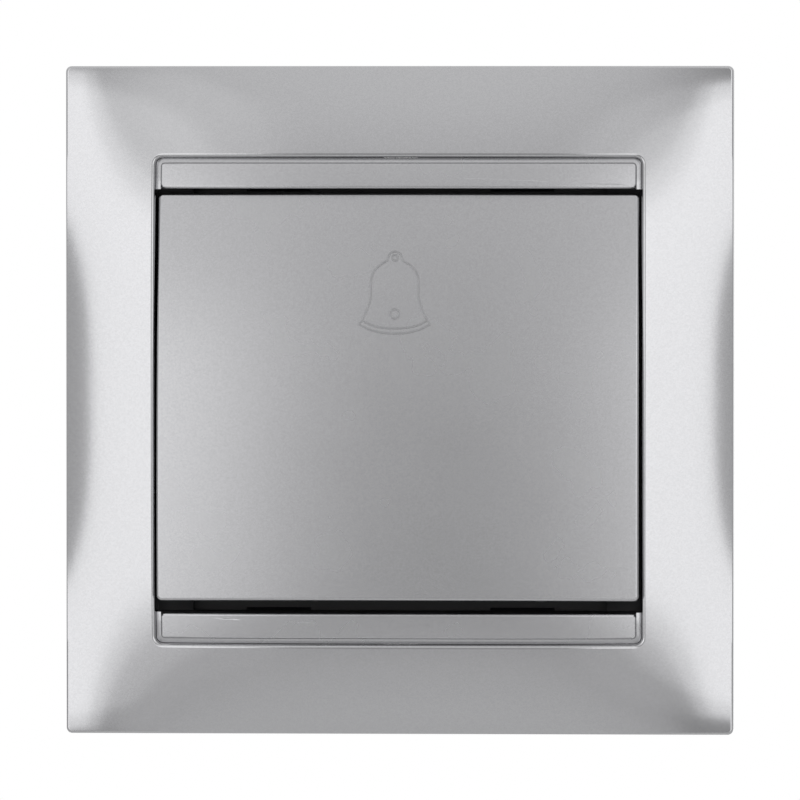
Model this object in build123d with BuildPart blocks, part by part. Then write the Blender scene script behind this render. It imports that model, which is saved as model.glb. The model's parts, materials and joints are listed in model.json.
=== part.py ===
"""Flush-mounted bell push: a crowned square frame, a rocking key and the insert behind them.

Millimetres. X runs to the right, Z up and Y into the wall. The origin is the middle of the
mounting strap's back, on the wall's surface, so "height" below means distance in front of it.
"""

import os
from math import cos, radians, sin, tan

from build123d import *

os.makedirs("parts", exist_ok=True)

# Cover frame
frame_width = 82.0
rim_height = 4.5
crown = 6.5
crown_power = 3.0
frame_wall = 1.8
frame_corner = 0.7
frame_edge_break = 0.3
opening_width = 59.4
opening_corner = 0.8
opening_draft = 1.0
opening_edge_break = 0.3
lip_width = 1.5
lip_thickness = 1.0
rib_thickness = 1.0
rib_spacing = 40.0
crown_rows = 9
crown_margin = 2.0

# Key surround: two crowned bars, flush with the frame, joined by low rails under the key
surround_clearance = 0.05
bar_width = 3.75
bar_sink = 0.35
bar_corner = 0.5
bar_edge_break = 0.3
ledge_width = 0.5
ledge_step = 0.4
rail_bridge = 0.75
flange_thickness = 0.9
bar_wall = 1.2
snap_x = 15.0
snap_width = 7.0
snap_thickness = 1.3
snap_reach = 2.0
snap_barb = 0.4
snap_play = 0.15

# Key: heights are over its pivot
key_side_gap = 0.22
key_end_gap = 1.15
key_tilt = 4.0
key_rise = 8.4
key_side_drop = 1.2
key_end_drop = 1.8
key_crown_rows = 3
key_corner = 0.6
key_edge_break = 0.3
key_shell = 1.6
key_wall = 1.4
key_seat = 4.65
key_seat_width = 3.0
key_foot = 1.45
key_side_foot = 3.05
key_rib = 1.2
key_rib_cheek_gap = 1.6
key_rib_rocker_gap = 1.9
key_rail_gap = 0.4
clip_x = 7.0
clip_end = 7.0
clip_width = 5.0
clip_thickness = 1.4
clip_barb = 0.4
clip_play = 0.15
clip_tail = 1.4

# Rocker that carries the key on two trunnions
pivot_above_strap = 1.4
rocker_width = 26.0
rocker_end_gap = 0.9
rocker_plate = 2.6
rocker_corner = 2.0
rocker_window = 6.0
hub_radius = 2.8
trunnion_radius = 1.5
trunnion_length = 2.8
trunnion_clearance = 0.06
cheek_clearance = 0.3
finger_setback = 1.0
finger_width = 4.0
finger_thickness = 3.0
finger_corner = 0.6
finger_clearance = 0.1
spigot_radius = 1.4
spigot_length = 1.6

# Mounting strap
strap_thickness = 1.0
strap_end = 5.0
strap_corner_cut = 13.0
strap_gap = 0.3
strap_seat = 1.3
box_screw_spacing = 60.0
box_slot_radius = 2.1
box_slot_length = 7.0
screw_head_room = 7.6
screw_head_height = 2.8

# Insert base
base_width = 34.0
base_height = 46.0
base_depth = 17.0
base_wall = 1.8
base_end_wall = 2.8
base_floor = 2.5
base_corner = 1.5
base_back_break = 0.8
cheek_thickness = 3.0
cheek_width = 8.4
cheek_above_pivot = 2.2
snap_mouth = 2.7
stop_gap = 0.15
stop_margin = 1.4
stop_length = 3.0
stop_width = 4.0
stop_x = -3.0
stop_depth = 4.0
stake_x = 13.0
stake_width = 3.4
stake_thickness = 1.6
stake_head_overhang = 0.6
stake_head_height = 0.8
stake_head_taper = 25.0
stake_clearance = 0.1

# Contacts and terminals
terminal_x = 9.0
terminal_width = 7.5
terminal_height = 7.0
terminal_depth = 7.5
terminal_gap = 0.25
terminal_chamfer = 0.4
pen_wall = 1.0
pen_height = 5.0
wire_radius = 1.5
wire_depth = 6.2
wire_below_top = 4.6
bay_play = 0.5
wire_play = 0.2
terminal_screw_radius = 1.25
terminal_screw_head_radius = 2.2
terminal_screw_head = 1.9
terminal_screw_level = 3.8
terminal_screw_room = 0.4
strip_width = 5.0
leaf_thickness = 0.4
leaf_bend = 1.0
leaf_overrun = 1.2
leaf_slope = 3.0
leaf_foot_margin = 0.6
fixed_thickness = 0.6
tip_setback = 5.5
tip_radius = 1.4
tip_height = 0.9
tip_stem_radius = 0.7
contact_gap = 1.2
rivet_gap = 0.85
rivet_radius = 1.0
rivet_head_radius = 1.7
rivet_head_height = 0.7
rivet_clearance = 0.05

# Return spring
spring_x = 4.0
spring_margin = 0.675
spring_radius = 2.45
spring_wire = 0.55
spring_turns = 4
spring_wire_sides = 4
spring_seat_depth = 7.0
spring_boss_radius = 3.0
spring_play = 0.05

# Claws that grip the wall box
claw_offset = 4.6
claw_sheet = 1.2
claw_width = 8.4
claw_level = 12.6
claw_tail = 3.4
claw_arm = 3.8
claw_jaw_out = 2.0
claw_jaw_forward = 4.0
claw_teeth = 3
claw_tooth_depth = 1.2
claw_bend = 1.0
claw_guide = 1.2
claw_guide_reach = 2.8
claw_guide_gap = 0.4
claw_screw_radius = 1.5
claw_screw_head_radius = 2.4
claw_screw_head = 1.6
claw_screw_tail = 3.0
claw_screw_seat = 0.4
claw_hole_play = 0.7
thread_play = 0.05
driver_slot_width = 0.8
driver_slot_depth = 0.8

# Planes: local y is up on WALL, height on SIDE (z, height) and on PLAN (x, height)
WALL = Plane.XZ
SIDE = Plane(origin=(0, 0, 0), x_dir=(0, 0, 1), z_dir=(1, 0, 0))
PLAN = Plane(origin=(0, 0, 0), x_dir=(1, 0, 0), z_dir=(0, 0, -1))

# Heights and sizes that several pieces share
half_frame = frame_width / 2
lip_back = strap_thickness + strap_gap
lip_front = lip_back + lip_thickness
flange_front = lip_front + flange_thickness
surround_width = opening_width - 2 * surround_clearance
surround_corner = opening_corner - surround_clearance
bar_span = surround_width - 2 * ledge_width
window_height = surround_width - 2 * bar_width
rail_inner = box_screw_spacing / 2 - screw_head_room / 2 - rail_bridge
skirt_width = opening_width + 2 * frame_wall
head_room_height = strap_thickness + screw_head_height
tilt = radians(key_tilt)
pivot_height = strap_thickness + pivot_above_strap
key_width = opening_width - 2 * key_side_gap
key_height = (window_height - 2 * key_end_gap) / cos(tilt)
rocker_back = key_seat - rocker_plate
floor_height = base_floor - base_depth
inner_width = base_width - 2 * base_wall
inner_height = base_height - 2 * base_end_wall
strap_width = box_screw_spacing + 2 * strap_end
cheek_x = rocker_width / 2 + cheek_clearance + cheek_thickness / 2
strap_window_width = 2 * cheek_x + cheek_thickness + 2 * cheek_clearance
strap_window_height = inner_height - 2 * strap_seat
rocker_length = strap_window_height - 2 * rocker_end_gap
clip_z = rocker_length / 2 - clip_end
key_rib_x = cheek_x + cheek_thickness / 2 + key_rib_cheek_gap + key_rib / 2
key_rib_z = rocker_length / 2 + key_rib_rocker_gap + key_rib / 2
stop_z = strap_window_height / 2 - stop_margin - stop_length / 2
finger_z = stop_z - finger_setback
tip_z = finger_z - tip_setback
spring_z = strap_window_height / 2 - spring_margin - spring_radius - spring_wire / 2
snap_z = window_height / 2 + snap_thickness / 2 + snap_play
end_middle = base_height / 2 - base_end_wall / 2
stake_slot_width = stake_width + 2 * stake_clearance
stake_slot_height = stake_thickness + 2 * stake_clearance
leaf_height = floor_height + fixed_thickness + 2 * tip_height + contact_gap
terminal_top = inner_height / 2 - terminal_gap
terminal_low = terminal_top - terminal_height
pen_width = terminal_width + 2 * terminal_gap
rivet_z = terminal_low - rivet_gap - rivet_head_radius
wire_z = terminal_top - wire_below_top
bay_edge = wire_z - wire_radius - bay_play
terminal_screw_height = floor_height + terminal_screw_level
finger_end_height = leaf_height + leaf_thickness + finger_clearance
finger_near = finger_z - finger_thickness / 2
finger_end = (finger_end_height - pivot_height - finger_near * sin(tilt)) / cos(tilt)
leaf_foot_end = rivet_z - rivet_head_radius - leaf_foot_margin
leaf_end = finger_z - finger_end * sin(tilt) + finger_thickness / 2 + leaf_overrun
claw_x = base_width / 2 + claw_offset
claw_pivot_height = strap_thickness + claw_screw_seat

# The key and rocker stand on this plane through the pivot, tipped so that the lower end is proud
KEY = Plane(origin=(0, -pivot_height, 0), x_dir=(1, 0, 0), z_dir=(0, -cos(tilt), sin(tilt)))
KEY_SIDE = Plane(origin=KEY.origin, x_dir=KEY.y_dir, z_dir=(1, 0, 0))


def rocker_back_at(z):
    """Height of the resting rocker's back over the height z on the wall."""
    return pivot_height + rocker_back / cos(tilt) - z * tan(tilt)


def frame_height(x, z):
    """Height of the frame's crowned front: a pillow whose four edges stay level."""
    swell_x = 1 - abs(x / half_frame) ** crown_power
    swell_z = 1 - abs(z / half_frame) ** crown_power
    return rim_height + crown * swell_x * swell_z


def key_height_at(x, y):
    """Height of the key's face over its pivot: convex both ways."""
    return key_rise - key_side_drop * (2 * x / key_width) ** 2 - key_end_drop * (2 * y / key_height) ** 2


def smooth_face(plane, half_x, half_y, rows, height, drop):
    """A smooth face over a plane, at the height that a function gives, lowered by drop."""
    shares = [2 * row / (rows - 1) - 1 for row in range(rows)]

    def point(x, y):
        return plane.from_local_coords(Vector(x, y, height(x, y) - drop))

    return Face.make_surface_from_array_of_points(
        [[point(half_x * across, half_y * up) for up in shares] for across in shares]
    )


def frame_crown(drop):
    """The frame's crowned front, lowered by drop."""
    reach = half_frame + crown_margin
    return smooth_face(WALL, reach, reach, crown_rows, frame_height, drop)


def key_crown(drop):
    """The key's convex face, lowered by drop."""
    reach_x = key_width / 2 + crown_margin
    reach_y = key_height / 2 + crown_margin
    return smooth_face(KEY, reach_x, reach_y, key_crown_rows, key_height_at, drop)


def core_height(x):
    """Ceiling of the core under a bar, one wall below its ledge at x."""
    return frame_height(x, surround_width / 2) - bar_sink - ledge_step - bar_wall


def save(piece, name):
    """Label a finished piece and write its file."""
    piece.part.label = name
    export_step(piece.part, f"parts/{name}.step")


# Hollow behind the frame's face, between its rim and the skirt round the opening
with BuildPart() as frame_hollow:
    with BuildSketch(WALL):
        Rectangle(frame_width - 2 * frame_wall, frame_width - 2 * frame_wall)
        Rectangle(skirt_width, skirt_width, mode=Mode.SUBTRACT)
    extrude(amount=rim_height + crown)
    split(bisect_by=frame_crown(frame_wall), keep=Keep.BOTTOM)
    with BuildSketch(WALL.offset(lip_back)):
        with GridLocations(rib_spacing, 0, 2, 1):
            Rectangle(rib_thickness, frame_width)
        with GridLocations(0, rib_spacing, 1, 2):
            Rectangle(frame_width, rib_thickness)
    extrude(amount=rim_height + crown, mode=Mode.SUBTRACT)

# Cover frame
with BuildPart() as cover_frame:
    with BuildSketch(WALL):
        RectangleRounded(frame_width, frame_width, frame_corner)
    extrude(amount=rim_height + crown)
    split(bisect_by=frame_crown(0), keep=Keep.BOTTOM)
    with BuildSketch(WALL.offset(lip_front)):
        RectangleRounded(opening_width, opening_width, opening_corner)
    extrude(amount=rim_height + crown, taper=-opening_draft, mode=Mode.SUBTRACT)
    front = cover_frame.faces().filter_by(GeomType.BSPLINE).sort_by(SortBy.AREA)[-1]
    chamfer(front.inner_wires()[0].edges(), opening_edge_break)
    front = cover_frame.faces().filter_by(GeomType.BSPLINE).sort_by(SortBy.AREA)[-1]
    chamfer(front.outer_wire().edges(), frame_edge_break)
    with BuildSketch(WALL):
        Rectangle(skirt_width, skirt_width)
    extrude(amount=lip_back, mode=Mode.SUBTRACT)
    with BuildSketch(WALL.offset(lip_back)):
        RectangleRounded(opening_width - 2 * lip_width, opening_width - 2 * lip_width, opening_corner)
    extrude(amount=lip_thickness, mode=Mode.SUBTRACT)
    add(frame_hollow.part, mode=Mode.SUBTRACT)
    with BuildSketch(WALL):
        with PolarLocations(box_screw_spacing / 2, 4):
            Circle(screw_head_room / 2)
    extrude(amount=head_room_height, mode=Mode.SUBTRACT)
save(cover_frame, "cover_frame")

# Raised faces of the surround's bars
with BuildPart() as bar_tops:
    with BuildSketch(WALL.offset(lip_front)):
        RectangleRounded(bar_span, bar_span, bar_corner)
    extrude(amount=rim_height + crown)
    split(bisect_by=frame_crown(bar_sink), keep=Keep.BOTTOM)
    with BuildSketch(WALL.offset(lip_front)):
        Rectangle(surround_width, window_height)
    extrude(amount=rim_height + crown, mode=Mode.SUBTRACT)
    chamfer(bar_tops.faces().filter_by(GeomType.BSPLINE).edges(), bar_edge_break)

# Key surround
with BuildPart() as key_surround:
    with BuildSketch(WALL.offset(lip_front)):
        RectangleRounded(surround_width, surround_width, surround_corner)
    extrude(amount=rim_height + crown, taper=-opening_draft)
    split(bisect_by=frame_crown(bar_sink + ledge_step), keep=Keep.BOTTOM)
    with BuildSketch(WALL.offset(flange_front)):
        Rectangle(frame_width, window_height)
    extrude(amount=rim_height + crown, mode=Mode.SUBTRACT)
    with BuildSketch(WALL.offset(lip_front)):
        Rectangle(2 * rail_inner, window_height)
    extrude(amount=flange_thickness, mode=Mode.SUBTRACT)
    add(bar_tops.part)
    core_inner = snap_x - snap_width / 2 - bar_wall
    core_start = snap_x + snap_width / 2 + bar_wall
    core_end = surround_width / 2 - bar_wall
    with BuildSketch(WALL.offset(lip_front)):
        with GridLocations(core_start + core_end, window_height + bar_width, 2, 2):
            Rectangle(core_end - core_start, bar_width - 2 * bar_wall)
    extrude(amount=core_height(core_end) - lip_front, mode=Mode.SUBTRACT)
    with BuildSketch(WALL.offset(lip_front)):
        with GridLocations(0, window_height + bar_width, 1, 2):
            Rectangle(2 * core_inner, bar_width - 2 * bar_wall)
    extrude(amount=core_height(core_inner) - lip_front, mode=Mode.SUBTRACT)
    with BuildSketch(SIDE.offset(snap_x), SIDE.offset(-snap_x)):
        with BuildLine():
            inside = snap_z - snap_thickness / 2
            outside = snap_z + snap_thickness / 2
            Polyline(
                (inside, flange_front),
                (inside, -snap_reach),
                (outside - snap_barb, -snap_reach),
                (outside + snap_barb, -strap_gap),
                (outside, -strap_gap),
                (outside, flange_front),
                close=True,
            )
        make_face()
        mirror(about=Plane.YZ)
    extrude(amount=snap_width / 2, both=True)
    with BuildSketch(WALL):
        with PolarLocations(box_screw_spacing / 2, 4):
            Circle(screw_head_room / 2)
    extrude(amount=head_room_height, mode=Mode.SUBTRACT)
save(key_surround, "key_surround")

# Hollow behind the key's face, between its walls, its ribs and the seat of the rocker
with BuildPart() as key_hollow:
    with BuildSketch(KEY.offset(key_foot)):
        Rectangle(key_width - 2 * key_wall, key_height - 2 * key_wall)
    extrude(amount=key_rise)
    split(bisect_by=key_crown(key_shell), keep=Keep.BOTTOM)
    with BuildSketch(KEY.offset(key_side_foot)):
        with GridLocations(2 * key_rib_x, 0, 2, 1):
            Rectangle(key_rib, key_height)
        with GridLocations(0, 2 * key_rib_z, 1, 2):
            Rectangle(2 * key_rib_x, key_rib)
    extrude(amount=key_rise, mode=Mode.SUBTRACT)
    with BuildSketch(KEY.offset(key_seat)):
        Rectangle(rocker_width, rocker_length)
        Rectangle(rocker_width - 2 * key_seat_width, rocker_length - 2 * key_seat_width, mode=Mode.SUBTRACT)
    extrude(amount=key_rise, mode=Mode.SUBTRACT)

# Key
with BuildPart() as push_key:
    with BuildSketch(KEY.offset(key_foot)):
        RectangleRounded(key_width, key_height, key_corner)
    extrude(amount=key_rise)
    split(bisect_by=key_crown(0), keep=Keep.BOTTOM)
    chamfer(push_key.faces().filter_by(GeomType.BSPLINE).edges(), key_edge_break)
    add(key_hollow.part, mode=Mode.SUBTRACT)
    with BuildSketch(KEY.offset(key_foot)):
        Rectangle(key_width, key_height)
        Rectangle(2 * rail_inner - 2 * key_rail_gap, key_height, mode=Mode.SUBTRACT)
    extrude(amount=key_side_foot - key_foot, mode=Mode.SUBTRACT)
    with BuildSketch(KEY_SIDE.offset(clip_x), KEY_SIDE.offset(-clip_x)):
        with BuildLine():
            near = clip_z - clip_thickness / 2
            far = clip_z + clip_thickness / 2
            catch = rocker_back - clip_play
            root = key_rise - key_shell
            Polyline(
                (near, root),
                (near, catch - clip_tail),
                (far - clip_barb, catch - clip_tail),
                (far + clip_barb, catch),
                (far, catch),
                (far, root),
                close=True,
            )
        make_face()
        mirror(about=Plane.YZ)
    extrude(amount=clip_width / 2, both=True)
save(push_key, "push_key")

# Rocker
with BuildPart() as rocker:
    with BuildSketch(KEY.offset(rocker_back)):
        RectangleRounded(rocker_width, rocker_length, rocker_corner)
        with GridLocations(2 * clip_x, 2 * clip_z, 2, 2):
            Rectangle(clip_width + 2 * clip_play, clip_thickness + 2 * clip_play, mode=Mode.SUBTRACT)
        with GridLocations(0, 2 * clip_z, 1, 2):
            Rectangle(rocker_window, rocker_window, mode=Mode.SUBTRACT)
    extrude(amount=rocker_plate)
    with BuildSketch(KEY_SIDE):
        Circle(hub_radius)
        with Locations((0, rocker_back / 2)):
            Rectangle(2 * hub_radius, rocker_back)
    extrude(amount=rocker_width / 2, both=True)
    with BuildSketch(KEY_SIDE):
        Circle(trunnion_radius)
    extrude(amount=rocker_width / 2 + trunnion_length, both=True)
    with BuildSketch(KEY.offset(finger_end)):
        with Locations((-terminal_x, -finger_z)):
            RectangleRounded(finger_width, finger_thickness, finger_corner)
    extrude(amount=rocker_back - finger_end)
    with BuildSketch(KEY.offset(rocker_back)):
        with Locations((spring_x, -spring_z)):
            Circle(spigot_radius)
    extrude(amount=-spigot_length)
save(rocker, "rocker")

# Mounting strap
with BuildPart() as mounting_strap:
    with BuildSketch(WALL) as strap_blank:
        Rectangle(strap_width, strap_width)
        chamfer(strap_blank.vertices(), strap_corner_cut)
        Rectangle(strap_window_width, strap_window_height, mode=Mode.SUBTRACT)
        with GridLocations(box_screw_spacing, 0, 2, 1):
            SlotOverall(box_slot_length, 2 * box_slot_radius, mode=Mode.SUBTRACT)
        with GridLocations(0, box_screw_spacing, 1, 2):
            SlotOverall(box_slot_length, 2 * box_slot_radius, rotation=90, mode=Mode.SUBTRACT)
        with GridLocations(2 * claw_x, 0, 2, 1):
            Circle(claw_screw_radius + claw_hole_play, mode=Mode.SUBTRACT)
        with GridLocations(2 * stake_x, 2 * end_middle, 2, 2):
            Rectangle(stake_slot_width, stake_slot_height, mode=Mode.SUBTRACT)
        with GridLocations(2 * snap_x, 2 * snap_z, 2, 2):
            Rectangle(snap_width + 2 * snap_play, snap_thickness + 2 * snap_play, mode=Mode.SUBTRACT)
    extrude(amount=strap_thickness)
save(mounting_strap, "mounting_strap")

# Insert base
with BuildPart() as insert_base:
    with BuildSketch(WALL.offset(-base_depth)):
        RectangleRounded(base_width, base_height, base_corner)
    extrude(amount=base_depth)
    chamfer(insert_base.faces().sort_by(Axis.Y)[-1].edges(), base_back_break)
    with BuildSketch(WALL.offset(floor_height)):
        Rectangle(inner_width, inner_height)
    extrude(amount=-floor_height, mode=Mode.SUBTRACT)
    with BuildSketch(WALL.offset(floor_height)):
        with GridLocations(2 * cheek_x, 0, 2, 1):
            Rectangle(cheek_thickness, cheek_width)
    extrude(amount=pivot_height + cheek_above_pivot - floor_height)
    with BuildSketch(SIDE):
        with Locations((0, pivot_height)):
            Circle(trunnion_radius + trunnion_clearance)
        with Locations((0, pivot_height + cheek_above_pivot / 2)):
            Rectangle(snap_mouth, cheek_above_pivot)
    extrude(amount=cheek_x + cheek_thickness, both=True, mode=Mode.SUBTRACT)
    with BuildSketch(SIDE.offset(stop_x)):
        with BuildLine():
            root = inner_height / 2 + base_end_wall / 2
            far = stop_z + stop_length / 2
            near = stop_z - stop_length / 2
            top = rocker_back_at(far) - stop_gap
            Polyline((root, -stop_depth), (root, 0), (far, 0), (far, top), (near, top), (near, 0), close=True)
        make_face()
        mirror(about=Plane.YZ)
    extrude(amount=stop_width / 2, both=True)
    with BuildSketch(WALL):
        with GridLocations(2 * stake_x, 2 * end_middle, 2, 2):
            Rectangle(stake_width, stake_thickness)
    extrude(amount=strap_thickness)
    with BuildSketch(WALL.offset(strap_thickness)):
        with GridLocations(2 * stake_x, 2 * end_middle, 2, 2):
            Rectangle(stake_width + 2 * stake_head_overhang, stake_thickness + 2 * stake_head_overhang)
    extrude(amount=stake_head_height, taper=stake_head_taper)
    with BuildSketch(WALL.offset(floor_height)):
        with Locations((spring_x, -spring_z)):
            Circle(spring_boss_radius)
    extrude(amount=-spring_seat_depth - floor_height)
    with BuildSketch(WALL.offset(-spring_seat_depth)):
        with Locations((spring_x, -spring_z)):
            Circle(spigot_radius)
    extrude(amount=spigot_length)
    with BuildSketch(WALL.offset(floor_height)):
        with GridLocations(2 * terminal_x, 0, 2, 1):
            with Locations((0, terminal_low)):
                along_end = (Align.CENTER, Align.MIN)
                Rectangle(pen_width + 2 * pen_wall, end_middle - terminal_low, align=along_end)
                Rectangle(pen_width, end_middle - terminal_low, align=along_end, mode=Mode.SUBTRACT)
    extrude(amount=pen_height)
    with BuildSketch(PLAN.offset(-base_height / 2)):
        with GridLocations(2 * terminal_x, 0, 2, 1):
            with Locations((0, terminal_screw_height)):
                Circle(terminal_screw_head_radius + terminal_screw_room)
    extrude(amount=base_end_wall, mode=Mode.SUBTRACT)
    with BuildSketch(WALL.offset(-base_depth)):
        with Locations((0, bay_edge)):
            Rectangle(inner_width, base_height / 2 - bay_edge, align=(Align.CENTER, Align.MIN))
        with GridLocations(2 * terminal_x, 0, 2, 1):
            with Locations((0, rivet_z)):
                Circle(rivet_radius + rivet_clearance)
    extrude(amount=base_floor, mode=Mode.SUBTRACT)
    guide_pitch = claw_width + 2 * claw_guide_gap + claw_guide
    with BuildSketch(WALL.offset(-base_depth + base_back_break)):
        with GridLocations(base_width + claw_guide_reach, guide_pitch, 2, 2):
            Rectangle(claw_guide_reach + base_wall, claw_guide)
    extrude(amount=base_depth - base_back_break)
save(insert_base, "insert_base")

# Moving contact: a leaf spring joggled up from its foot, under the rocker's finger
with BuildPart() as leaf_contact:
    with BuildSketch(SIDE.offset(-terminal_x)):
        with BuildLine():
            FilletPolyline(
                (terminal_top, floor_height),
                (leaf_foot_end, floor_height),
                (leaf_foot_end - leaf_slope, leaf_height),
                (-leaf_end, leaf_height),
                radius=leaf_bend,
            )
            offset(amount=leaf_thickness, side=Side.RIGHT)
        make_face()
    extrude(amount=strip_width / 2, both=True)
    with BuildSketch(WALL.offset(floor_height)):
        with Locations((-terminal_x, wire_z)):
            Circle(wire_radius + wire_play)
        with Locations((-terminal_x, rivet_z)):
            Circle(rivet_radius + rivet_clearance)
        with Locations((-terminal_x, -tip_z)):
            Circle(tip_stem_radius + rivet_clearance)
    extrude(amount=leaf_height + leaf_thickness - floor_height, mode=Mode.SUBTRACT)
save(leaf_contact, "leaf_contact")

# Fixed contact: a flat strip that turns under the leaf's tip
with BuildPart() as fixed_contact:
    with BuildSketch(WALL.offset(floor_height)):
        with Locations((terminal_x, terminal_top)):
            Rectangle(strip_width, terminal_top + tip_z + strip_width / 2, align=(Align.CENTER, Align.MAX))
        with Locations((0, -tip_z)):
            Rectangle(2 * terminal_x + strip_width, strip_width)
        with Locations((terminal_x, wire_z)):
            Circle(wire_radius + wire_play, mode=Mode.SUBTRACT)
        with Locations((terminal_x, rivet_z)):
            Circle(rivet_radius + rivet_clearance, mode=Mode.SUBTRACT)
        with Locations((-terminal_x, -tip_z)):
            Circle(tip_stem_radius + rivet_clearance, mode=Mode.SUBTRACT)
    extrude(amount=fixed_thickness)
save(fixed_contact, "fixed_contact")

# Contact tips: riveted silver buttons that face each other
with BuildPart() as fixed_tip:
    with BuildSketch(WALL.offset(floor_height)):
        with Locations((-terminal_x, -tip_z)):
            Circle(tip_stem_radius)
    extrude(amount=fixed_thickness)
    with BuildSketch(WALL.offset(floor_height + fixed_thickness)):
        with Locations((-terminal_x, -tip_z)):
            Circle(tip_radius)
    extrude(amount=tip_height)
save(fixed_tip, "fixed_tip")

with BuildPart() as leaf_tip:
    with BuildSketch(WALL.offset(leaf_height)):
        with Locations((-terminal_x, -tip_z)):
            Circle(tip_stem_radius)
    extrude(amount=leaf_thickness)
    with BuildSketch(WALL.offset(leaf_height)):
        with Locations((-terminal_x, -tip_z)):
            Circle(tip_radius)
    extrude(amount=-tip_height)
save(leaf_tip, "leaf_tip")

# Terminals: a brass block with its wire hole, its clamping screw and the rivet of its strip
for side, name, strip_thickness in ((-1, "left", leaf_thickness), (1, "right", fixed_thickness)):
    block_back = floor_height + strip_thickness
    with BuildPart() as terminal:
        with BuildSketch(WALL.offset(block_back)):
            with Locations((side * terminal_x, (terminal_top + terminal_low) / 2)):
                Rectangle(terminal_width, terminal_height)
        extrude(amount=terminal_depth)
        chamfer(terminal.edges().filter_by(Axis.Y), terminal_chamfer)
        with BuildSketch(WALL.offset(block_back)):
            with Locations((side * terminal_x, wire_z)):
                Circle(wire_radius)
        extrude(amount=wire_depth, mode=Mode.SUBTRACT)
        with BuildSketch(PLAN.offset(-terminal_top)):
            with Locations((side * terminal_x, terminal_screw_height)):
                Circle(terminal_screw_radius + thread_play)
        extrude(amount=terminal_top - wire_z, mode=Mode.SUBTRACT)
    save(terminal, f"terminal_{name}")

    with BuildPart() as terminal_screw:
        with BuildSketch(PLAN.offset(-terminal_top)):
            with Locations((side * terminal_x, terminal_screw_height)):
                Circle(terminal_screw_radius)
        extrude(amount=terminal_top - wire_z - wire_radius)
        with BuildSketch(PLAN.offset(-terminal_top)):
            with Locations((side * terminal_x, terminal_screw_height)):
                Circle(terminal_screw_head_radius)
        extrude(amount=-terminal_screw_head)
        with BuildSketch(PLAN.offset(-terminal_top - terminal_screw_head)):
            with Locations((side * terminal_x, terminal_screw_height)):
                Rectangle(2 * terminal_screw_head_radius, driver_slot_width)
        extrude(amount=driver_slot_depth, mode=Mode.SUBTRACT)
    save(terminal_screw, f"terminal_screw_{name}")

    with BuildPart() as rivet:
        with BuildSketch(WALL.offset(-base_depth)):
            with Locations((side * terminal_x, rivet_z)):
                Circle(rivet_radius)
        extrude(amount=base_floor + strip_thickness)
        with BuildSketch(WALL.offset(block_back)):
            with Locations((side * terminal_x, rivet_z)):
                Circle(rivet_head_radius)
        extrude(amount=rivet_head_height)
    save(rivet, f"strip_rivet_{name}")

# Return spring under the rocker's lower half
with BuildPart() as return_spring:
    spring_low = spring_wire / 2 + spring_play - spring_seat_depth
    spring_high = rocker_back_at(spring_radius + spring_wire / 2 - spring_z) - spring_wire / 2 - spring_play
    spring_foot = (spring_x, -spring_low, -spring_z)
    spring_rise = spring_high - spring_low
    with BuildLine() as coil:
        Helix(spring_rise / spring_turns, spring_rise, spring_radius, spring_foot, WALL.z_dir)
    with BuildSketch(Plane(origin=coil.line @ 0, z_dir=coil.line % 0)):
        RegularPolygon(spring_wire / 2, spring_wire_sides)
    sweep(is_frenet=True)
save(return_spring, "return_spring")

# Claws and the screws that draw them
with BuildPart() as claw_right:
    with BuildSketch(PLAN):
        with BuildLine():
            FilletPolyline(
                (claw_x - claw_tail, -claw_level),
                (claw_x + claw_arm, -claw_level),
                (claw_x + claw_arm + claw_jaw_out, claw_jaw_forward - claw_level),
                radius=claw_bend,
            )
            offset(amount=claw_sheet, side=Side.RIGHT)
        make_face()
    extrude(amount=claw_width / 2, both=True)
    with BuildSketch(WALL.offset(-claw_level - claw_sheet)):
        with Locations((claw_x, 0)):
            Circle(claw_screw_radius + thread_play)
    extrude(amount=claw_sheet, mode=Mode.SUBTRACT)
    tooth_pitch = claw_width / claw_teeth
    with BuildSketch(SIDE.offset(claw_x + claw_arm)):
        with Locations((0, claw_jaw_forward - claw_level)):
            with GridLocations(tooth_pitch, 0, claw_teeth - 1, 1):
                Polygon((-tooth_pitch / 2, 0), (0, -claw_tooth_depth), (tooth_pitch / 2, 0), align=None)
    extrude(amount=claw_jaw_out + claw_sheet, mode=Mode.SUBTRACT)
save(claw_right, "claw_right")

with BuildPart() as claw_left:
    mirror(claw_right.part, about=Plane.YZ)
save(claw_left, "claw_left")

with BuildPart() as claw_screw_right:
    with BuildSketch(WALL.offset(claw_pivot_height)):
        with Locations((claw_x, 0)):
            Circle(claw_screw_radius)
    extrude(amount=-claw_pivot_height - claw_level - claw_screw_tail)
    with BuildSketch(WALL.offset(claw_pivot_height)):
        with Locations((claw_x, 0)):
            Circle(claw_screw_head_radius)
    extrude(amount=claw_screw_head)
    with BuildSketch(WALL.offset(claw_pivot_height + claw_screw_head)):
        with Locations((claw_x, 0)):
            Rectangle(driver_slot_width, 2 * claw_screw_head_radius)
    extrude(amount=-driver_slot_depth, mode=Mode.SUBTRACT)
save(claw_screw_right, "claw_screw_right")

with BuildPart() as claw_screw_left:
    mirror(claw_screw_right.part, about=Plane.YZ)
save(claw_screw_left, "claw_screw_left")
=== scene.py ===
# %% [markdown]
# # Dressing a flush bell push
# The part is a square bell push for a wall box: a crowned silver frame, a broad rocking key with
# an outlined bell, and behind them a switch insert with claws. The solids arrive packed, at their
# real size and place. This lesson gives them their looks: soft edges, lacquer, plastic, plated
# steel, brass, threads, a coiled spring and the light of a small studio.

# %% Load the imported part
import json
import math

import bmesh
import bpy
from mathutils import Matrix, Vector


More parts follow.
